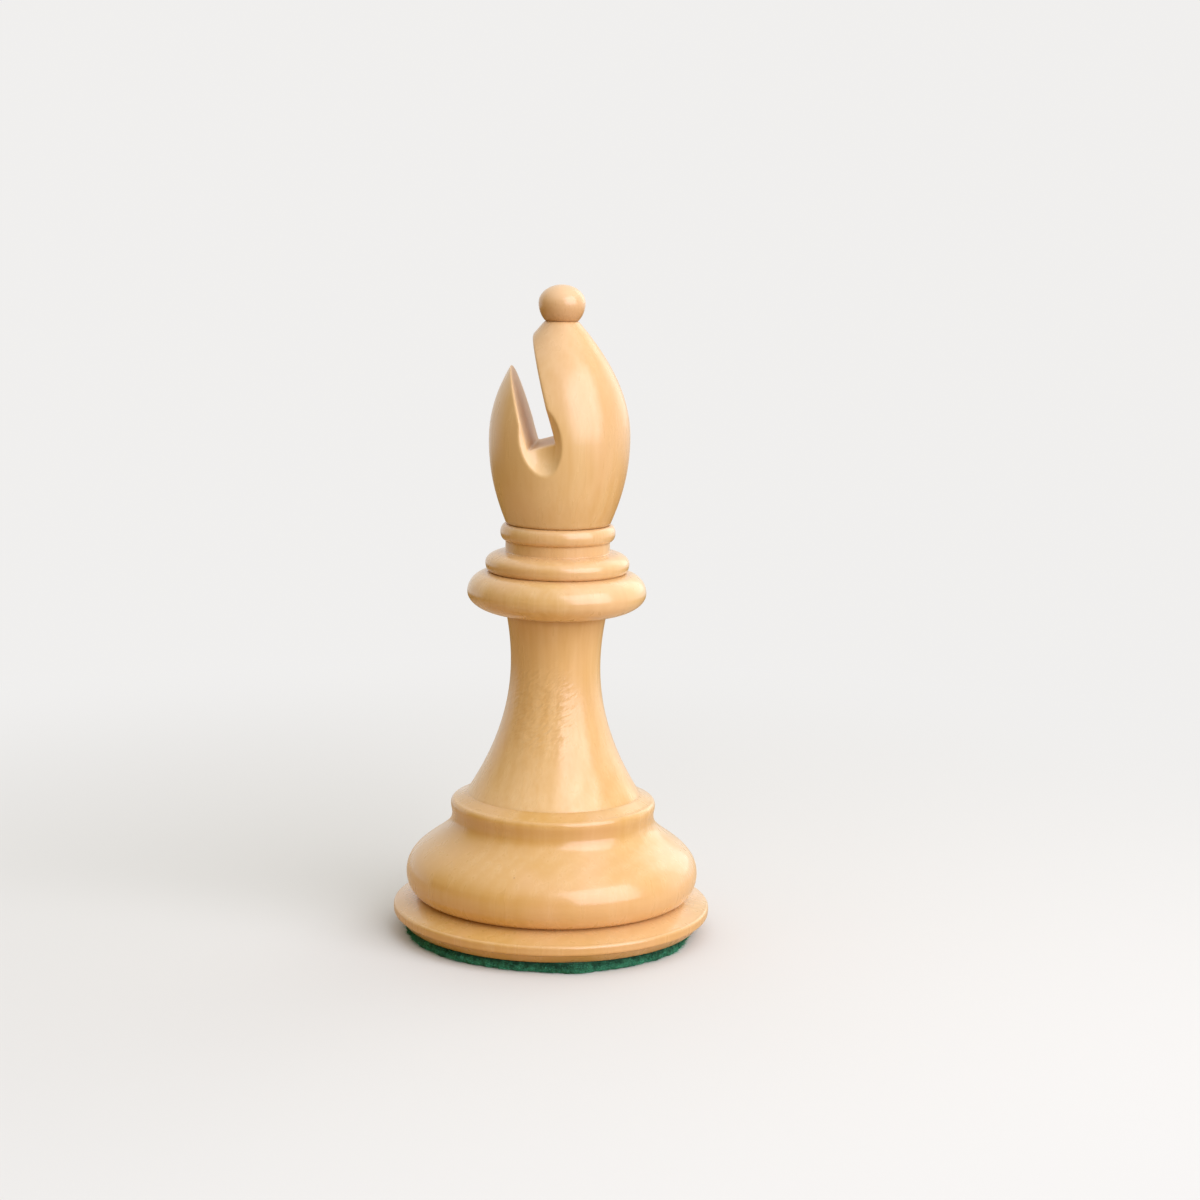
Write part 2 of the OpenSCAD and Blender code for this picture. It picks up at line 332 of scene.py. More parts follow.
class Outline:
    """Half the outline of a turned piece, from the bottom up: x from the axis and z, in millimetres."""

    def __init__(self, x, z):
        self.tip = Vector((x, 0, z))
        self.runs = []
        self.eases = []

    def curve(self, first, second, x, z, ease=0.0):
        end = Vector((x, 0, z))
        self.runs.append((self.tip, Vector((first[0], 0, first[1])), Vector((second[0], 0, second[1])), end))
        self.eases.append(ease)
        self.tip = end
        return self

    def line(self, x, z, ease=EASE):
        a = self.tip.lerp(Vector((x, 0, z)), 1 / 3)
        b = self.tip.lerp(Vector((x, 0, z)), 2 / 3)
        return self.curve((a.x, a.z), (b.x, b.z), x, z, ease)

    def bend(self, corner, x, z, pull=ROUND, ease=0.0):
        """A run that starts towards the corner and ends as if it came from there."""
        corner = Vector((corner[0], 0, corner[1]))
        a = self.tip.lerp(corner, pull)
        b = Vector((x, 0, z)).lerp(corner, pull)
        return self.curve((a.x, a.z), (b.x, b.z), x, z, ease)

    def swell(self, x, z, ease=0.0):
        """A quarter round that leaves level and arrives upright."""
        return self.bend((x, self.tip.z), x, z, ease=ease)

    def draw_in(self, x, z, ease=0.0):
        """A quarter round that leaves upright and arrives level."""
        return self.bend((self.tip.x, z), x, z, ease=ease)

    def eased(self):
        """The runs with each corner cut back by its ease, and a small round put in."""
        made = [self.runs[0]]
        for ease, following in zip(self.eases, self.runs[1:]):
            if ease:
                corner = following[0]
                back = 3 * (made[-1][3] - made[-1][2]).length
                ahead = 3 * (following[1] - following[0]).length
                made[-1] = cut(made[-1], 1 - min(ease / back, MOST_CUT))[0]
                following = cut(following, min(ease / ahead, MOST_CUT))[1]
                start, end = made[-1][3], following[0]
                made.append((start, start.lerp(corner, ROUND), end.lerp(corner, ROUND), end))
            made.append(following)
        return made


print("outlines are drawn in runs, with corners eased by", EASE, "mm")

# %% Work on one piece at a time
MERGE_MM = 0.002


def pick(piece):
    """Leaves one piece selected and active, because an operator acts on all that is selected."""
    bpy.ops.object.select_all(action="DESELECT")
    piece.select_set(True)
    bpy.context.view_layer.objects.active = piece


def apply_modifier(piece, kind, **settings):
    """Adds a modifier with these settings, and makes its result the mesh."""
    pick(piece)
    bpy.ops.object.modifier_add(type=kind)
    modifier = piece.modifiers[-1]
    for key, value in settings.items():
        setattr(modifier, key, value)
    bpy.ops.object.modifier_apply(modifier=modifier.name)


def close_up(piece):
    """Merges the seam and the poles of a spun mesh, and turns its faces outwards."""
    pick(piece)
    bpy.ops.object.mode_set(mode="EDIT")
    bpy.ops.mesh.select_all(action="SELECT")
    bpy.ops.mesh.remove_doubles(threshold=MERGE_MM * MM)
    bpy.ops.mesh.normals_make_consistent(inside=False)
    bpy.ops.object.mode_set(mode="OBJECT")


print("points nearer than", MERGE_MM, "mm are merged")

# %% Spin an outline into a piece
STEPS = 144
POINTS_EACH = 8
LONGEST_RUN = 2.6
SMOOTH_UP_TO = math.radians(35)


def shorter(runs):
    """Runs cut in half until none is long, so that every run gets the same number of points."""
    made = []
    for run in runs:
        if (run[3] - run[0]).length > LONGEST_RUN:
            made += shorter(cut(run, 0.5))
        else:
            made.append(run)
    return made


def turned(name, outline, steps=STEPS, points=POINTS_EACH):
    """The outline as a curve, made a mesh and spun about the z axis."""
    runs = shorter(outline.eased())
    bpy.ops.object.select_all(action="DESELECT")
    bpy.ops.curve.primitive_bezier_curve_add(location=(0, 0, 0))
    drawn = bpy.context.object
    drawn.data.resolution_u = points
    spline = drawn.data.splines[0]
    spline.bezier_points.add(len(runs) - 1)
    knots = [(runs[0][0], runs[0][0], runs[0][1])]
    knots += [(run[3], run[2], following[1]) for run, following in zip(runs, runs[1:])]
    knots += [(runs[-1][3], runs[-1][2], runs[-1][3])]
    for point, (place, left, right) in zip(spline.bezier_points, knots):
        point.handle_left_type = point.handle_right_type = "FREE"
        point.co = place * MM
        point.handle_left = left * MM
        point.handle_right = right * MM
    bpy.ops.object.convert(target="MESH")
    piece = bpy.context.object
    piece.name = piece.data.name = name
    apply_modifier(piece, "SCREW", axis="Z", angle=2 * math.pi, steps=steps, render_steps=steps)
    close_up(piece)
    bpy.ops.object.shade_smooth_by_angle(angle=SMOOTH_UP_TO)
    return piece


print("outlines are spun in", STEPS, "steps, with", POINTS_EACH, "points to a run")

# %% Give a piece its finish and its place
def dress(piece, node, material):
    """Gives a piece its finish, and makes it the stand-in of a CAD node."""
    piece.data.materials.clear()
    piece.data.materials.append(material)
    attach(piece, "root")
    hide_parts(node)
    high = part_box(node)[1]
    tops = [max(vertex.co[axis] for vertex in piece.data.vertices) for axis in range(3)]
    gap = max(abs(a - b) for a, b in zip(tops, high)) / MM
    print(f"{piece.name} is finished in {material.name}, within {gap:.3f} mm of its solid's top corner")


print("solids to dress:", len(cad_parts))

# %% [markdown]
# ## The base
# The base is the foot disc and the round belly in one piece of wood. A thin rim stands out over the felt,
# a deep crevice parts it from the belly, and an ogee leads up to a slight neck and a ring, with a ledge
# for the stem. Underneath is the pocket for the weight, and on top the mortise for the stem's tenon.

# %% Turn the base
base_low, base_high = (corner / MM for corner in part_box("base"))
RIM_R = base_high.x
FOOT_Z = base_low.z
STEM_Z = base_high.z
RING_R = 12.3
RING_NECK_R = 12.14
BELLY_R = 17.55
STEM_FOOT_R = 10.4
POCKET_R, POCKET_Z = 11.5, 10.5
MORTISE_R, MORTISE_Z = 4.55, 12.5
CREVICE_Z = 4.65

outline = Outline(0, POCKET_Z).line(POCKET_R, POCKET_Z).line(POCKET_R, FOOT_Z)
outline.line(17.8, FOOT_Z).line(18.75, 2.25, 0.08)
outline.swell(RIM_R, 2.65).line(RIM_R, 3.1, 0).draw_in(RIM_R - 0.4, 3.5, 0.1)
outline.line(15.7, 4.55, 0.06)
outline.swell(BELLY_R, 7.25)
outline.curve((BELLY_R, 11.0), (RING_NECK_R, 11.5), RING_NECK_R, 14.3)
outline.curve((RING_NECK_R, 14.9), (RING_R, 15.1), RING_R, 15.6)
outline.draw_in(RING_R - 0.55, 16.25, 0.2)
outline.line(STEM_FOOT_R, STEM_Z, 0.0)
outline.line(MORTISE_R, STEM_Z).line(MORTISE_R, MORTISE_Z).line(0, MORTISE_Z)
base = turned("base_turned", outline)
print("base:", len(base.data.polygons), "faces")

# %% Finish the base
# Painted shade in the crevice, at the stem's foot, in the cove under the ring, on the rim and on its
# chamfer.
painted_shade_bands = [(CREVICE_Z, 0.5, 0.4), (STEM_Z, 0.25, 0.1), (14.4, 1.6, 0.16), (2.9, 0.8, 0.16), (1.3, 0.4, 0.08)]
base_wood = boxwood("boxwood_base", (3.0, 8.0, 1.0), (-21, 9), 0.95, painted_shade_bands, coat=0.5, haze=0.12)
dress(base, "base", base_wood)

# %% [markdown]
# ## The stem
# The stem flares from a narrow waist to its foot. Each side of the waist is a parabola, which a curve
# with handles two thirds of the way to one corner gives exactly. Its tenons go into the base below, and
# through the collar into the mitre above. The tool has chattered on the flare, which leaves fine slanting
# marks in the gloss.

# %% Turn the stem
WAIST_R = 5.35
WAIST_Z = 32.65
COLLAR_Z = 38.85
STEM_TOP_R = 6.0
PARABOLA = 2 / 3
FOOT_TENON_R, FOOT_TENON_Z = 4.5, STEM_Z - 4.2
TOP_TENON_R, TOP_TENON_Z = 3.5, 54.5

outline = Outline(0, FOOT_TENON_Z).line(FOOT_TENON_R, FOOT_TENON_Z).line(FOOT_TENON_R, STEM_Z)
outline.line(STEM_FOOT_R, STEM_Z, 0.0)
outline.bend((WAIST_R, (STEM_Z + WAIST_Z) / 2), WAIST_R, WAIST_Z, PARABOLA)
outline.bend((WAIST_R, (WAIST_Z + COLLAR_Z) / 2), STEM_TOP_R, COLLAR_Z, PARABOLA)
outline.line(TOP_TENON_R, COLLAR_Z).line(TOP_TENON_R, TOP_TENON_Z).line(0, TOP_TENON_Z)
stem = turned("stem_turned", outline)
print("stem:", len(stem.data.polygons), "faces")

# %% Finish the stem
CHATTERED = (20.5, 35.0)

# Painted shade at the stem's foot and under the collar.
painted_shade_bands = [(STEM_Z, 0.35, 0.1), (COLLAR_Z, 1.0, 0.4)]
stem_wood = boxwood("boxwood_stem", (17.0, 2.0, 40.0), (24, -12), 0.36, painted_shade_bands, CHATTERED)
dress(stem, "stem", stem_wood)

# %% [markdown]
# ## The collar
# The collar is a bored ring with three beads: a wide one, a middle one that lies on it, and a small one
# under the mitre, parted by a sharp crease and a narrow neck. Its outline is a closed loop that ends
# where the bore begins.

# %% Turn the collar
BORE_R = 3.55
MIDDLE_BEAD_Z = 43.8
NECK_R, NECK_LOW, NECK_HIGH = 6.2, 46.2, 47.55
MITRE_Z = 49.5
MITRE_FOOT_R = 6.15

outline = Outline(BORE_R, COLLAR_Z).line(STEM_TOP_R, COLLAR_Z, 0.1)
outline.swell(10.65, 41.35).draw_in(8.0, MIDDLE_BEAD_Z, 0.05)
outline.swell(8.55, 44.9).draw_in(NECK_R, NECK_LOW, 0.1)
outline.line(NECK_R, NECK_HIGH, 0.1).swell(6.825, 48.5).draw_in(MITRE_FOOT_R, MITRE_Z, 0.05)
outline.line(BORE_R, MITRE_Z).line(BORE_R, COLLAR_Z)
collar = turned("collar_turned", outline)
print("collar:", len(collar.data.polygons), "faces")

# %% Finish the collar
# Painted shade at the collar's foot, between the wide and middle beads, at both ends of the neck and under
# the mitre.
painted_shade_bands = [(COLLAR_Z, 0.5, 0.4), (MIDDLE_BEAD_Z, 0.35, 0.25)]
painted_shade_bands += [(NECK_LOW, 0.3, 0.2), (NECK_HIGH, 0.25, 0.2), (MITRE_Z, 0.25, 0.25)]
collar_wood = boxwood("boxwood_collar", (31.0, 14.0, 7.0), (-15, -26), 0.3, painted_shade_bands, coat=0.4, haze=0.12)
dress(collar, "collar", collar_wood)

# %% [markdown]
# ## The finial
# The ball on top is a separate bead on a peg, a tone warmer than the mitre and a little flat. Its lower
# half is the part of a taller ellipse that ends at the seat, so it starts with a lean and not level.

# %% Turn the finial
FINIAL_STEPS = 96
FINIAL_R = 2.75
FINIAL_Z = 73.4
FINIAL_WIDE_Z = 75.45
SEAT_R = 1.95
PEG_R, PEG_Z = 1.1, FINIAL_Z - 3
seat_turn = math.acos(SEAT_R / FINIAL_R)
low_scale = (FINIAL_WIDE_Z - FINIAL_Z) / math.sin(seat_turn)
hold = 4 / 3 * math.tan(seat_turn / 4)
seat_side = (FINIAL_R * math.sin(seat_turn) * hold, low_scale * math.cos(seat_turn) * hold)

outline = Outline(0, PEG_Z).line(PEG_R, PEG_Z)
outline.line(PEG_R, FINIAL_Z, 0.05).line(SEAT_R, FINIAL_Z, 0.05)
outline.curve((SEAT_R + seat_side[0], FINIAL_Z + seat_side[1]),
              (FINIAL_R, FINIAL_WIDE_Z - low_scale * hold), FINIAL_R, FINIAL_WIDE_Z)
outline.draw_in(0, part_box("finial")[1].z / MM)
finial = turned("finial_turned", outline, FINIAL_STEPS)
print("finial:", len(finial.data.polygons), "faces")

# %% Finish the finial
# Painted shade at the seat, and a broad band that darkens the whole lower half of the ball.
painted_shade_bands = [(FINIAL_Z, 0.3, 0.25), (FINIAL_Z, 2.8, 0.4)]
finial_wood = boxwood("boxwood_finial", (9.0, 33.0, 21.0), (14, 11), 0.02, painted_shade_bands, rosy=0.5)
dress(finial, "finial", finial_wood)

# %% [markdown]
# ## The mitre
# The mitre is an egg with a pointed top. It is turned first, as a finer blank than the other pieces,
# because the saw cut is made in it afterwards. The cut leans to one side, and where it leaves the wood
# its mouth is opened by a round scoop, front and back. A cut through a mesh leaves razor edges, and real
# ones are eased by sandpaper. A bevel would break on so many small faces, so the result is remeshed
# finely instead, and its points are then drawn onto the true surface, which is written as a distance: the
# turned form less the cuts, with every edge rounded.

# %% Turn the blank of the mitre
MITRE_STEPS = 360
MITRE_R = 8.33
MITRE_WIDE_Z = 59.6
SOCKET_Z = 54.75
PEG_HOLE_R, PEG_HOLE_Z = 1.15, FINIAL_Z - 3.25
foot_rise = (MITRE_WIDE_Z - MITRE_Z) * 0.3
wide_rise = (MITRE_WIDE_Z - MITRE_Z) * 0.4
top_fall = (FINIAL_Z - MITRE_WIDE_Z) * 0.3
wide_climb = (FINIAL_Z - MITRE_WIDE_Z) * 0.385
foot_lean = math.tan(math.radians(22.6))
top_lean = math.tan(math.radians(41.3))

blank = Outline(0, SOCKET_Z).line(BORE_R, SOCKET_Z, 0)
blank.line(BORE_R, MITRE_Z, 0).line(MITRE_FOOT_R, MITRE_Z, 0)
blank.curve((MITRE_FOOT_R + foot_rise * foot_lean, MITRE_Z + foot_rise),
            (MITRE_R, MITRE_WIDE_Z - wide_rise), MITRE_R, MITRE_WIDE_Z)
blank.curve((MITRE_R, MITRE_WIDE_Z + wide_climb),
            (SEAT_R + top_fall * top_lean, FINIAL_Z - top_fall), SEAT_R, FINIAL_Z)
blank.line(PEG_HOLE_R, FINIAL_Z, 0).line(PEG_HOLE_R, PEG_HOLE_Z, 0).line(0, PEG_HOLE_Z)
mitre = turned("mitre_turned", blank, MITRE_STEPS)
print("mitre blank:", len(mitre.data.polygons), "faces")

# %% Make the saw and the scoop
SLOT_W = 3.3
SLOT_TILT = math.radians(-16)
SLOT_OFF = 1.5
SLOT_Z = 59.2
SCOOP_W = 5.8
SCOOP_DEPTH = 1.8
SCOOP_LIFT = 1.55
SCOOP_REACH = 5.0
WHEEL_R = (SCOOP_REACH ** 2 + SCOOP_DEPTH ** 2) / (2 * SCOOP_DEPTH)
WHEEL_STEPS = 240
SWING = math.asin(SLOT_OFF / MITRE_R)
MOUTH_AT = math.sqrt(MITRE_R ** 2 - SLOT_OFF ** 2)
SAW_REACH = 32.0


def at_the_cut(tool):
    """Leans a tool as the saw leans, and sets it at the foot of the cut."""
    pick(tool)
    tool.rotation_euler = (0, SLOT_TILT, 0)
    tool.location = Vector((-SLOT_OFF, 0, SLOT_Z)) * MM
    bpy.ops.object.transform_apply(location=True, rotation=True, scale=True)
    return tool


def scoop_wheel(side):
    """A wheel with a round edge, turned on its side and set in the mouth of the cut."""
    wheel = Outline(0, -SCOOP_W / 2).line(WHEEL_R - SCOOP_DEPTH, -SCOOP_W / 2, 0)
    wheel.bend((WHEEL_R + SCOOP_DEPTH, 0), WHEEL_R - SCOOP_DEPTH, SCOOP_W / 2, PARABOLA)
    tool = turned("scoop_wheel", wheel.line(0, SCOOP_W / 2, 0), WHEEL_STEPS)
    mouth = Vector((0, -MOUTH_AT, SCOOP_LIFT))
    out = Quaternion((0, 0, 1), -SWING) @ Vector((0, SCOOP_DEPTH - WHEEL_R, 0))
    turn = Quaternion((0, 0, 1), -SWING) @ Quaternion((0, 1, 0), math.pi / 2)
    tool.rotation_mode = "QUATERNION"
    tool.rotation_quaternion = turn
    tool.location = (mouth + out) * MM
    bpy.ops.object.transform_apply(location=True, rotation=True, scale=True)
    tool.rotation_mode = "XYZ"
    if side > 0:
        tool.scale = (1, -1, 1)
        bpy.ops.object.transform_apply(location=True, rotation=True, scale=True)
        close_up(tool)
    return tool


bpy.ops.object.select_all(action="DESELECT")
bpy.ops.mesh.primitive_cube_add(size=1)
saw = bpy.context.object
saw.scale = (SLOT_W * MM, SAW_REACH * MM, SAW_REACH * MM)
saw.location = (0, 0, SAW_REACH * MM / 2)
bpy.ops.object.transform_apply(location=True, rotation=True, scale=True)
tools = [at_the_cut(tool) for tool in (saw, scoop_wheel(-1), scoop_wheel(1))]
print("tools:", [tool.name for tool in tools])

# %% Cut the mitre and mesh it evenly
MITRE_VOXEL = 0.155

for tool in tools:
    apply_modifier(mitre, "BOOLEAN", object=tool, operation="DIFFERENCE", solver="EXACT")
    bpy.data.objects.remove(tool)
print("mitre cut:", len(mitre.data.polygons), "faces")
apply_modifier(mitre, "REMESH", mode="VOXEL", voxel_size=MITRE_VOXEL * MM)
apply_modifier(mitre, "SMOOTH", factor=0.5, iterations=6)
print("mitre remeshed:", len(mitre.data.polygons), "faces")

# %% Measure the way to the mitre's true surface
EASED_R = 0.16
MOUTH_R = 0.42
TIP_R = 0.2
FORM_STEPS = 40


def both(first, second, radius=EASED_R):
    """The distance to what two forms share, with the edge between them rounded."""
    inside = np.minimum(np.maximum(first, second), -radius)
    return inside + np.hypot(np.maximum(first + radius, 0), np.maximum(second + radius, 0))


def to_turned(x, y, z):
    """How far a point lies outside the turned form."""
    reach = np.interp(z, form_z, form_r)
    lean = np.interp(z, form_z, np.gradient(form_r, form_z))
    return (np.hypot(x, y) - reach) / np.sqrt(1 + lean ** 2)


def to_wheel(across, y, above):
    """How far a point lies outside the scoop's wheel in front."""
    hub = WHEEL_R - SCOOP_DEPTH
    away = across + hub * math.sin(SWING)
    ahead = y + MOUTH_AT + hub * math.cos(SWING)
    along = away * math.cos(SWING) - ahead * math.sin(SWING)
    radial = np.sqrt(away ** 2 + ahead ** 2 + (above - SCOOP_LIFT) ** 2 - along ** 2)
    edge = WHEEL_R - SCOOP_DEPTH * (2 * along / SCOOP_W) ** 2
    lean = 8 * SCOOP_DEPTH * along / SCOOP_W ** 2
    return np.maximum((radial - edge) / np.sqrt(1 + lean ** 2), np.abs(along) - SCOOP_W / 2)


def to_mitre(x, y, z):
    """How far a point lies outside the turned form less the saw cut and both scoops."""
    side, rise = x + SLOT_OFF, z - SLOT_Z
    across = side * math.cos(SLOT_TILT) - rise * math.sin(SLOT_TILT)
    above = side * math.sin(SLOT_TILT) + rise * math.cos(SLOT_TILT)
    saw_cut = both(np.abs(across) - SLOT_W / 2, -above)
    scoop = np.minimum(to_wheel(across, y, above), to_wheel(across, -y, above))
    eased = np.interp(z, (SLOT_Z + 3, SLOT_Z + 9), (MOUTH_R, TIP_R))
    return both(both(to_turned(x, y, z), -saw_cut, eased), -scoop, EASED_R)


form = [cut(run, step / FORM_STEPS)[0][3] for run in blank.runs[3:5] for step in range(FORM_STEPS)]
form_z = np.array([point.z for point in form])
form_r = np.array([point.x for point in form])
print("mitre form:", len(form), "points, widest", round(form_r.max(), 2), "mm")

# %% Draw the mitre's points onto it
NEAR = 0.35
NUDGE = 0.001
ROUNDS = 4

at = np.empty(3 * len(mitre.data.vertices))
mitre.data.vertices.foreach_get("co", at)
at = at.reshape(-1, 3).T / MM
kept = (at[2] > MITRE_Z + 0.5) & (at[2] < FINIAL_Z - 0.4)
nudges = NUDGE * np.eye(3)[:, :, None]
for _ in range(ROUNDS):
    far = to_mitre(*at)
    slope = np.array([to_mitre(*(at + nudge)) - far for nudge in nudges]) / NUDGE
    move = far * slope / np.maximum((slope ** 2).sum(0), 0.25)
    at -= np.where(kept & (np.abs(far) < NEAR), move, 0)
mitre.data.vertices.foreach_set("co", (at * MM).T.ravel())
mitre.data.update()
pick(mitre)
bpy.ops.object.shade_smooth()
drawn = np.abs(far[kept & (np.abs(far) < NEAR)])
print("mitre points lie within", round(drawn.max(), 4), "mm of the true surface")

# %% Finish the mitre
def saw_faces(finish):
    """1 on the faces that the saw left, which take less lacquer, and 0 on the turned ones."""
    side = finish.spot + SLOT_OFF
    rise = finish.height - SLOT_Z
    across = side * math.cos(SLOT_TILT) - rise * math.sin(SLOT_TILT)
    above = side * math.sin(SLOT_TILT) + rise * math.cos(SLOT_TILT)
    outside = abs(across).between(SLOT_W / 2 + 0.01, SLOT_W / 2 + 0.11)
    return (1 - outside) * above.between(-0.25, -0.05)


# Painted shade at the foot, a faint band over the lower part, and at the seat of the ball.
painted_shade_bands = [(MITRE_Z, 0.6, 0.25), (MITRE_Z + 1, 3.5, 0.1), (FINIAL_Z, 0.3, 0.25)]
mitre_wood = boxwood("boxwood_mitre", (44.0, 27.0, 12.0), (18, 22), 0.44, painted_shade_bands, sawn=saw_faces)
dress(mitre, "mitre", mitre_wood)

# %% [markdown]
# ## The felt
# A disc of green felt is glued under the foot. It was cut by hand, so its edge wanders, and its wool
# stands out in a short fuzz. The pad could carry hair, but a mesh of short curled fibres is lighter and
# keeps its shape in other programs. The colour runs from bottle green to teal over the tufts. Painted
# light makes the pad paler towards its bottom edge and darker up under the rim, and paints the fuzz paler
# than the pad, as fibres that catch the light.

# %% The colour of the felt
def felt_finish(name, deep, raised):
    """Wool that runs at random from a deep colour to that of its tufts, with painted light that pales it
    towards the bottom.
    """
    finish = Finish(name, Roughness=0.95, Sheen_Weight=0.35, Sheen_Roughness=0.5, Specular_IOR_Level=0.1)
    finish.surface.inputs["Sheen Tint"].default_value = (0.25, 0.8, 0.55, 1.0)
    tuft = finish.noise(finish.place, (1.3, 1.3, 1.3), 3.0)
    wool = finish.noise(finish.place, (7.0, 7.0, 7.0), 2.0)
    # Painted light: the wool is paler towards the bottom edge and darker up under the rim.
    painted_light_low = 1 - finish.height.between(0.1, 1.2)
    tufts_and_painted_light = ((tuft - 0.5) * 1.6 + (wool - 0.5) * 1.2 + 0.25 + painted_light_low * 0.5).between(0.1, 0.9)
    finish.set("Base Color", finish.blend(tufts_and_painted_light, deep, raised))
    finish.bump(wool * 0.6 + tuft * 0.6, 0.12)
    return finish.material


felt_green = felt_finish("felt_green", (0.009, 0.045, 0.027, 1.0), (0.034, 0.180, 0.105, 1.0))
# Painted light: the fuzz is a paler copy of the pad's colour, for fibres that catch the light.
felt_fuzz = felt_finish("felt_fuzz", (0.014, 0.085, 0.050, 1.0), (0.090, 0.430, 0.270, 1.0))
print("felt finishes:", felt_green.name, felt_fuzz.name)

# %% Cut the pad
felt_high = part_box("felt_pad")[1] / MM
FELT_R = felt_high.x
FELT_T = felt_high.z
FELT_STEPS = 480
FELT_POINTS = 5
PLAIN_SHARE = 0.7
OFF_CENTRE = Vector((0.05, -0.35, 0))
TONGUE_AT, TONGUE_WIDE = math.radians(-76), math.radians(10)
NICK_AT, NICK_WIDE = math.radians(-6), math.radians(17)


def felt_reach(turn):
    """How far the hand-cut edge lies from the axis in a direction, in mm: the pad is glued off centre."""
    way = Vector((math.cos(turn), math.sin(turn), 0))
    slow = noise.noise(way * 1.6 + Vector((0, 0, 3.7)))
    quick = noise.noise(way * 8.0 + Vector((0, 0, 8.2)))
    tongue = 0.6 * math.exp(-((turn - TONGUE_AT) / TONGUE_WIDE) ** 2)
    nick = 0.8 * math.exp(-((turn - NICK_AT) / NICK_WIDE) ** 2)
    return FELT_R - 0.25 + way.dot(OFF_CENTRE) + 0.2 * slow + 0.26 * quick + tongue - nick


outline = Outline(0, 0).line(FELT_R, 0, 0.25).line(FELT_R, FELT_T, 0.3).line(0, FELT_T)
felt = turned("felt_pad_cut", outline, FELT_STEPS, FELT_POINTS)
for vertex in felt.data.vertices:
    flat = Vector((vertex.co.x, vertex.co.y, 0)) / MM
    share = max(0.0, flat.length / FELT_R - PLAIN_SHARE) / (1 - PLAIN_SHARE)
    if share > 0:
        turn = math.atan2(flat.y, flat.x)
        lump = 0.3 * noise.noise(vertex.co / MM * 1.1) + 0.14 * noise.noise(vertex.co / MM * 3.6)
        grown = 1 + share * (felt_reach(turn) + share ** 6 * lump - FELT_R) / FELT_R
        vertex.co.x *= grown
        vertex.co.y *= grown
dress(felt, "felt_pad", felt_green)

# %% Spin one fibre
FIBRE_R = 0.02
SIDES = 3
RINGS = 3
FIBRE_POINTS = SIDES * RINGS + 1
points, faces = [], []


def add_fibre(root, way, bend, length):
    """A thin three-sided fibre that curls from its root to a point."""
    side = way.cross(Vector((0, 0, 1)) if abs(way.z) < 0.9 else Vector((1, 0, 0))).normalized()
    up = way.cross(side)
    first = len(points)
    for ring in range(RINGS):
        share = ring / RINGS
        middle = root + way * length * share + bend * length * share * share
        thick = FIBRE_R * (1 - 0.5 * share)
        for corner in range(SIDES):
            angle = corner * 2 * math.pi / SIDES
            points.append(middle + side * math.cos(angle) * thick + up * math.sin(angle) * thick)
    points.append(root + way * length + bend * length)
    for ring in range(RINGS):
        last = ring == RINGS - 1
        low = first + ring * SIDES
        for corner in range(SIDES):
            a, b = low + corner, low + (corner + 1) % SIDES
            faces.append((a, b, low + SIDES) if last else (a, b, b + SIDES, a + SIDES))
    faces.append(tuple(range(first + SIDES - 1, first - 1, -1)))


print("a fibre has", FIBRE_POINTS, "points")

# %% Raise the fuzz on its edge
TUFTS = 700
FIBRES_EACH = 16
ROOT_DEEP = 0.12
draw = random.Random(64)

for _ in range(TUFTS):
    tuft_turn = draw.uniform(0, 2 * math.pi)
    tuft_height = draw.triangular(0.08, FELT_T - 0.1, 0.25)
    lie = draw.uniform(-1, 1)
    lift = draw.uniform(-0.4, 0.3)
    tall = draw.uniform(0.6, 1.3)
    for _ in range(FIBRES_EACH):
        turn = (tuft_turn + draw.gauss(0, 0.014) + math.pi) % (2 * math.pi) - math.pi
        height = min(max(tuft_height + draw.gauss(0, 0.2), 0.08), FELT_T - 0.08)
        outward = Vector((math.cos(turn), math.sin(turn), 0))
        around = Vector((-math.sin(turn), math.cos(turn), 0))
        root = outward * (felt_reach(turn) - ROOT_DEEP) + Vector((0, 0, height))
        way = outward * draw.uniform(0.1, 0.9) + around * (lie + draw.uniform(-0.6, 0.6))
        way = (way + Vector((0, 0, lift + draw.uniform(-0.3, 0.3)))).normalized()
        bend = around * draw.uniform(-0.5, 0.5) - outward * 0.15 + Vector((0, 0, draw.uniform(-0.3, 0.3)))
        length = tall * draw.uniform(0.3, 0.9)
        tip = root + way * length + bend * length
        if 0.06 < tip.z < FELT_T - 0.03:
            add_fibre(root, way, bend, length)
print("fibres:", len(points) // FIBRE_POINTS)

# %% Lay the fuzz on the pad
mesh = bpy.data.meshes.new("felt_fuzz")
mesh.from_pydata([point * MM for point in points], [], faces)
fuzz = bpy.data.objects.new("felt_fuzz", mesh)
bpy.context.collection.objects.link(fuzz)
fuzz.data.materials.append(felt_fuzz)
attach(fuzz, "root")
print("fuzz:", len(mesh.polygons), "faces")

# %% [markdown]
# ## What lies inside
# The weight, its bedding and the plug are out of sight, and their CAD solids are already the right shape.
# They only get finishes of their own, so that a section through the part looks true: rusty iron, grey
# putty and raw wood.

# %% Finish the hidden pieces
iron = Finish("iron_slug", Metallic=1.0)
rust = iron.noise(iron.place, (0.35, 0.35, 0.35), 4.0).between(0.45, 0.7)
iron.set("Base Color", iron.blend(rust, (0.16, 0.155, 0.15, 1.0), (0.17, 0.065, 0.025, 1.0)))
iron.set("Metallic", 1 - rust * 0.8)
iron.set("Roughness", 0.45 + rust * 0.4)
iron.bump(iron.noise(iron.place, (2.0, 2.0, 2.0), 3.0), 0.05)

putty = Finish("putty_bedding", Roughness=0.8)
grit = putty.noise(putty.place, (1.1, 1.1, 1.1), 4.0)
grey = putty.blend(grit.between(0.3, 0.7), (0.42, 0.40, 0.36, 1.0), (0.56, 0.54, 0.49, 1.0))
putty.set("Base Color", grey)
putty.bump(grit, 0.08)

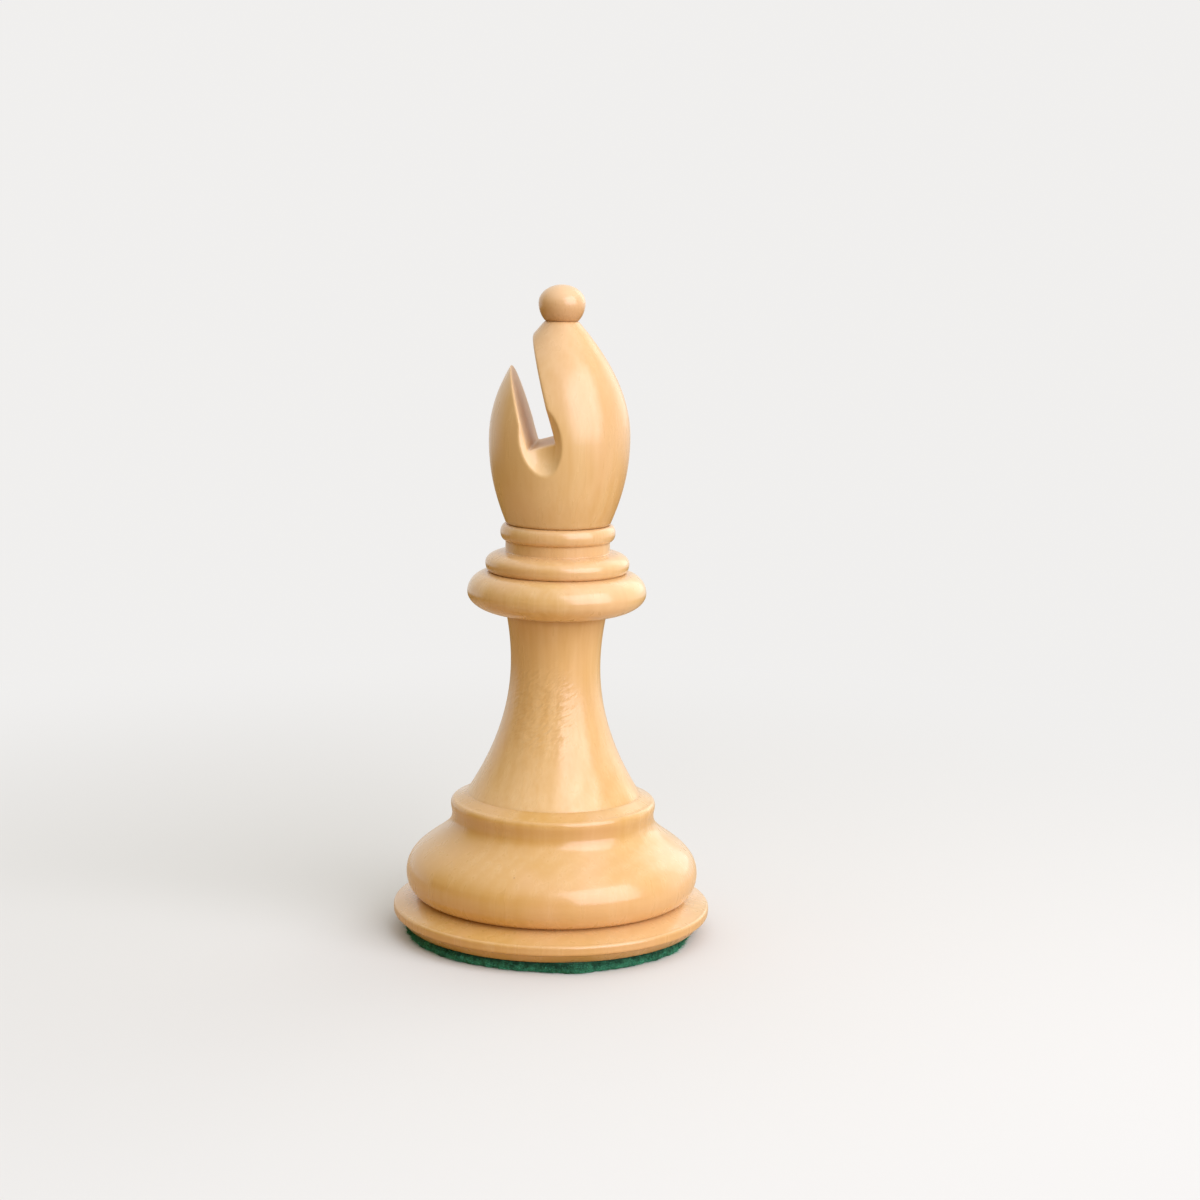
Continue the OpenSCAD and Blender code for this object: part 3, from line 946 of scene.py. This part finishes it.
raw_wood = boxwood("raw_plug_wood", (5.0, 5.0, 5.0), (30, 4), 0.3, coat=0.0)
hidden = {"weight_slug": iron.material, "weight_bedding": putty.material, "pocket_plug": raw_wood}
for node, material in hidden.items():
    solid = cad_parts[node]
    solid.data.materials.clear()
    solid.data.materials.append(material)
    print(node, "is finished in", material.name)

# %% [markdown]
# ## Floor and light
# The floor is a plain pale disc that fades into an even pale background, so no edge of it shows from any
# side: past the fade it has the background's own brightness for the camera, and lets all other light
# through. It is pale to the camera, less pale in reflections, and darker to bounced light, which keeps
# the undersides of the beads in shade. The light is plain and soft: a wide box in front at the right, a
# narrow one behind at the right, and a small one above. The surround is dim and warm, with a soft glow
# behind, at the left and above, so that the left of the piece falls into warm shade.

# %% Lay the floor
PALE = (0.875, 0.865, 0.855, 1.0)
FLOOR_PALE = (0.735, 0.75, 0.73, 1.0)
FLOOR_DIM = (0.57, 0.38, 0.17, 1.0)
FLOOR_GLOSS = 0.4
FLOOR_R = 0.7
FADE_FROM, FADE_TO = 45.0, 170.0

bpy.ops.object.select_all(action="DESELECT")
bpy.ops.mesh.primitive_circle_add(vertices=96, radius=FLOOR_R, fill_type="NGON")
floor = bpy.context.object
floor.name = "floor"
paper = Finish("floor_paper", Roughness=0.9, Specular_IOR_Level=0.15)
ray = paper.node("ShaderNodeLightPath", output="Is Camera Ray")
seen = ray.math("MAXIMUM", ray, ray.beside("Is Transmission Ray"))
shown = seen.math("MAXIMUM", seen, ray.beside("Is Glossy Ray") * FLOOR_GLOSS)
paper.set("Base Color", paper.blend(shown, FLOOR_DIM, FLOOR_PALE))
away = paper.node("ShaderNodeVectorMath", {"operation": "LENGTH"}, {0: paper.place}, output="Value")
clear = paper.node("ShaderNodeBsdfTransparent")
bright = paper.node("ShaderNodeEmission", None, {"Color": PALE})
beyond = paper.node("ShaderNodeMixShader", None, {0: seen, 1: clear, 2: bright})
faded = paper.node("ShaderNodeMixShader", None, {0: away.between(FADE_FROM, FADE_TO), 2: beyond})
paper.tree.links.new(paper.surface.outputs[0], faded.output.node.inputs[1])
paper.tree.links.new(faded.output, paper.tree.nodes["Material Output"].inputs["Surface"])
floor.data.materials.append(paper.material)
print("floor radius:", FLOOR_R, "m")

# %% Make the background and the soft light round it
DIM = (0.25, 0.15, 0.042, 1.0)
GLOW = (0.90, 0.88, 0.83, 1.0)
SKY = (0.92, 0.91, 0.93, 1.0)
LEFT = (0.47, 0.385, 0.18, 1.0)

world = bpy.data.worlds.new("studio")
world.use_nodes = True
bpy.context.scene.world = world
studio = Network(world.node_tree)
ray = studio.node("ShaderNodeLightPath", output="Is Camera Ray")
way = studio.node("ShaderNodeTexCoord", output="Generated")
heading = studio.node("ShaderNodeSeparateXYZ", None, {0: way}, output="Y")
above = heading.beside("Z")
behind = heading.between(0.15, 0.5) * above.between(-0.2, -0.06)
beside = (0 - heading.beside("X")).between(0.4, 0.85) * above.between(0.05, 0.3)
around = studio.blend(behind, DIM, GLOW)
around = studio.blend(beside, around, LEFT)
around = studio.blend(above.between(0.3, 0.95), around, SKY)
seen = ray.math("MAXIMUM", ray, ray.beside("Is Transmission Ray"))
seen = seen.math("MAXIMUM", seen, ray.beside("Is Glossy Ray") * behind)
studio.feed(world.node_tree.nodes["Background"].inputs["Color"], studio.blend(seen, around, PALE))
print("background:", PALE[:3])

# %% Set up the soft boxes
LAMP_AWAY = 0.5
AIM_Z = 0.04
FRONT_W = 2.65
BACK_W = 0.26
ABOVE_W = 0.1
FRONT_TINT = (1.0, 0.965, 1.06)
WHITE = (1.0, 1.0, 1.0)


def lamp(name, azimuth, elevation, wide, tall, watts, tint):
    """A soft rectangle of light. Azimuth is to the right of the front, and both angles are in degrees."""
    turn, rise = math.radians(azimuth), math.radians(elevation)
    way = Vector((math.sin(turn) * math.cos(rise), -math.cos(turn) * math.cos(rise), math.sin(rise)))
    bpy.ops.object.light_add(type="AREA", location=way * LAMP_AWAY + Vector((0, 0, AIM_Z)))
    light = bpy.context.object
    light.name = name
    light.rotation_euler = way.to_track_quat("Z", "Y").to_euler()
    light.data.shape = "RECTANGLE"
    light.data.size = wide
    light.data.size_y = tall
    light.data.energy = watts
    light.data.color = tint


lamp("box_front", 49.5, 26.5, 0.53, 0.50, FRONT_W, FRONT_TINT)
lamp("box_back", 145, 22, 0.24, 0.36, BACK_W, WHITE)
lamp("box_above", 75, 70, 0.30, 0.30, ABOVE_W, WHITE)
bpy.context.scene.view_settings.view_transform = "Standard"

# %% [markdown]
# ## Bring the scene up to date
# The view layer is updated once more, so that every piece stands where it was put.

# %% Update the view layer
bpy.context.view_layer.update()
